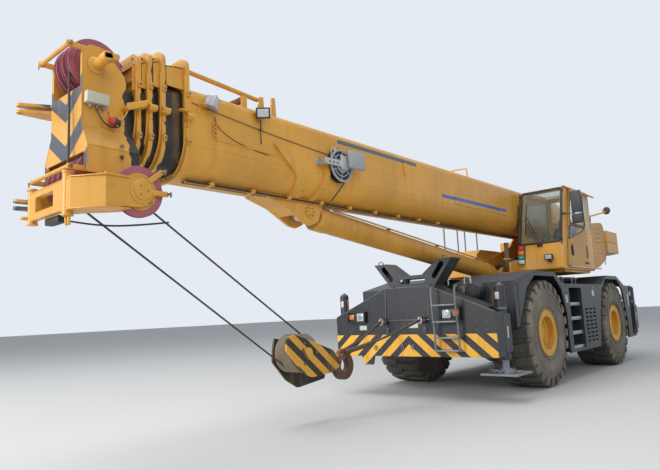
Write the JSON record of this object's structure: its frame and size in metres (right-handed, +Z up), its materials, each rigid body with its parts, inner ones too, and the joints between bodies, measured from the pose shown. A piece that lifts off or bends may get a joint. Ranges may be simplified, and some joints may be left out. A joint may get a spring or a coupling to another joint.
{
  "type": "rough-terrain mobile crane",
  "caption": "Rough-terrain mobile crane: telescopic boom on a slewing superstructure with cab and counterweight, large steered wheels and outriggers with jacks.",
  "frame": {"origin": "on the ground under the middle of the overall length and width, boom down over the front", "axes": "+X to the machine's left, -Y to its front, +Z up"},
  "size_m": [3.554, 14.0959, 4.292],
  "materials": {
    "boom_paint": "semi-gloss ochre yellow paint, dusty",
    "carrier_paint": "satin charcoal paint",
    "cover_paint": "semi-gloss ochre yellow paint with a striped band",
    "cab_paint": "semi-gloss ochre yellow paint",
    "rim_paint": "orange-yellow paint, dusty",
    "sheave_nylon": "moulded nylon",
    "steel": "bare steel",
    "chrome_rod": "hard chrome",
    "tread_plate": "tread plate",
    "rubber_tyre": "dusty rubber",
    "glass": "tinted safety glass",
    "trim": "black textured",
    "lamp": "lamp lenses and housings",
    "engine": "cast block",
    "rope": "greased wire rope",
    "hook": "orange paint, worn"
  },
  "bodies": {
    "carrier": {"frame": "carrier_paint", "front_axle": "carrier_paint", "rear_axle": "carrier_paint", "slew_ring": "carrier_paint", "deck": "carrier_paint", "side_skirts": "carrier_paint", "side_steps": "tread_plate", "side_box": "carrier_paint", "front_box": "carrier_paint", "rear_box": "carrier_paint", "front_cover": "cover_paint", "boom_rest": "cover_paint", "ladder": "trim", "lamps": "lamp", "engine": "engine", "engine_hood": "carrier_paint"},
    "superstructure": {"turntable": "boom_paint", "counterweight": "carrier_paint", "winches": "steel", "cab_shell": "cab_paint", "cab_glass": "glass", "cab_interior": "trim", "rear_cover": "cab_paint", "valve_box": "boom_paint", "mirrors": "trim"},
    "door": {"cab_door": "cab_paint", "door_glass": "glass"},
    "boom": {"boom_base": "boom_paint", "boom_fittings": "trim"},
    "section_2": {"boom_2": "boom_paint"},
    "section_3": {"boom_3": "boom_paint"},
    "section_4": {"boom_4": "boom_paint"},
    "section_5": {"boom_head": "boom_paint", "head_sheaves": "sheave_nylon", "aux_nose": "boom_paint"},
    "lift_barrel": {"lift_barrel": "boom_paint"},
    "lift_rod": {"lift_rod": "chrome_rod"},
    "hook": {"hook_block": "boom_paint", "hook": "hook", "hoist_falls": "rope"},
    "knuckle_fl": {"knuckle_fl": "carrier_paint"},
    "wheel_fl": {"tyre_fl": "rubber_tyre", "rim_fl": "rim_paint"},
    "beam_fl": {"beam_fl": "carrier_paint"},
    "jack_fl": {"jack_fl": "steel"},
    "knuckle_fr": {"knuckle_fr": "carrier_paint"},
    "wheel_fr": {"tyre_fr": "rubber_tyre", "rim_fr": "rim_paint"},
    "beam_fr": {"beam_fr": "carrier_paint"},
    "jack_fr": {"jack_fr": "steel"},
    "knuckle_rl": {"knuckle_rl": "carrier_paint"},
    "wheel_rl": {"tyre_rl": "rubber_tyre", "rim_rl": "rim_paint"},
    "beam_rl": {"beam_rl": "carrier_paint"},
    "jack_rl": {"jack_rl": "steel"},
    "knuckle_rr": {"knuckle_rr": "carrier_paint"},
    "wheel_rr": {"tyre_rr": "rubber_tyre", "rim_rr": "rim_paint"},
    "beam_rr": {"beam_rr": "carrier_paint"},
    "jack_rr": {"jack_rr": "steel"}
  },
  "joints": [
    {"name": "steer_fl", "type": "hinge", "parent": "carrier", "child": "knuckle_fl", "pos_m": [0.85, 0.999, 0.937], "axis": [0, 0, 1], "range_deg": [-25, 25]},
    {"name": "roll_fl", "type": "hinge", "parent": "knuckle_fl", "child": "wheel_fl", "pos_m": [1.195, 0.999, 0.937], "axis": [1, 0, 0], "continuous": true},
    {"name": "steer_fr", "type": "hinge", "parent": "carrier", "child": "knuckle_fr", "pos_m": [-0.85, 0.999, 0.937], "axis": [0, 0, 1], "range_deg": [-25, 25]},
    {"name": "roll_fr", "type": "hinge", "parent": "knuckle_fr", "child": "wheel_fr", "pos_m": [-1.195, 0.999, 0.937], "axis": [1, 0, 0], "continuous": true},
    {"name": "steer_rl", "type": "hinge", "parent": "carrier", "child": "knuckle_rl", "pos_m": [0.85, 5.089, 0.937], "axis": [0, 0, 1], "range_deg": [-25, 25]},
    {"name": "roll_rl", "type": "hinge", "parent": "knuckle_rl", "child": "wheel_rl", "pos_m": [1.195, 5.089, 0.937], "axis": [1, 0, 0], "continuous": true},
    {"name": "steer_rr", "type": "hinge", "parent": "carrier", "child": "knuckle_rr", "pos_m": [-0.85, 5.089, 0.937], "axis": [0, 0, 1], "range_deg": [-25, 25]},
    {"name": "roll_rr", "type": "hinge", "parent": "knuckle_rr", "child": "wheel_rr", "pos_m": [-1.195, 5.089, 0.937], "axis": [1, 0, 0], "continuous": true},
    {"name": "beam_fl_out", "type": "slide", "parent": "carrier", "child": "beam_fl", "axis": [1, 0, 0], "range_m": [0, 2.05]},
    {"name": "jack_fl_down", "type": "slide", "parent": "beam_fl", "child": "jack_fl", "axis": [0, 0, -1], "range_m": [0, 0.6]},
    {"name": "beam_fr_out", "type": "slide", "parent": "carrier", "child": "beam_fr", "axis": [-1, 0, 0], "range_m": [0, 2.05]},
    {"name": "jack_fr_down", "type": "slide", "parent": "beam_fr", "child": "jack_fr", "axis": [0, 0, -1], "range_m": [0, 0.6]},
    {"name": "beam_rl_out", "type": "slide", "parent": "carrier", "child": "beam_rl", "axis": [1, 0, 0], "range_m": [0, 2.05]},
    {"name": "jack_rl_down", "type": "slide", "parent": "beam_rl", "child": "jack_rl", "axis": [0, 0, -1], "range_m": [0, 0.6]},
    {"name": "beam_rr_out", "type": "slide", "parent": "carrier", "child": "beam_rr", "axis": [-1, 0, 0], "range_m": [0, 2.05]},
    {"name": "jack_rr_down", "type": "slide", "parent": "beam_rr", "child": "jack_rr", "axis": [0, 0, -1], "range_m": [0, 0.6]},
    {"name": "slew", "type": "hinge", "parent": "carrier", "child": "superstructure", "pos_m": [0, 3.044, 1.985], "axis": [0, 0, 1], "continuous": true},
    {"name": "door_slide", "type": "slide", "parent": "superstructure", "child": "door", "axis": [0, 1, 0], "range_m": [0, 0.75]},
    {"name": "luff", "type": "hinge", "parent": "superstructure", "child": "boom", "pos_m": [0, 5.394, 3.3], "axis": [-1, 0, 0], "range_deg": [0, 78]},
    {"name": "extend_2", "type": "slide", "parent": "boom", "child": "section_2", "axis": [0, -1, 0], "range_m": [0, 8.7]},
    {"name": "extend_3", "type": "slide", "parent": "section_2", "child": "section_3", "axis": [0, -1, 0], "range_m": [0, 8.7]},
    {"name": "extend_4", "type": "slide", "parent": "section_3", "child": "section_4", "axis": [0, -1, 0], "range_m": [0, 8.7]},
    {"name": "extend_5", "type": "slide", "parent": "section_4", "child": "section_5", "axis": [0, -1, 0], "range_m": [0, 8.7]},
    {"name": "lift_swing", "type": "hinge", "parent": "superstructure", "child": "lift_barrel", "pos_m": [0, 2.444, 2.105], "axis": [-1, 0, 0], "range_deg": [0, 86.76]},
    {"name": "lift_stroke", "type": "slide", "parent": "lift_barrel", "child": "lift_rod", "axis": [0, -0.9927, 0.1203], "range_m": [0, 3.82845]},
    {"name": "hook_swing", "type": "hinge", "parent": "section_5", "child": "hook", "pos_m": [0, -6.576, 2.73], "axis": [1, 0, 0], "range_deg": [0, 11.7]}
  ],
  "couplings": [
    {"joint": "steer_fr", "follows": "steer_fl", "ratio": 1},
    {"joint": "steer_rr", "follows": "steer_rl", "ratio": 1},
    {"joint": "extend_3", "follows": "extend_2", "ratio": 1},
    {"joint": "extend_4", "follows": "extend_2", "ratio": 1},
    {"joint": "extend_5", "follows": "extend_2", "ratio": 1},
    {"joint": "lift_swing", "follows": "luff", "ratio": 1.1123},
    {"joint": "lift_stroke", "follows": "luff", "m_per_rad": 2.8122},
    {"joint": "hook_swing", "follows": "luff", "ratio": 0.15}
  ]
}
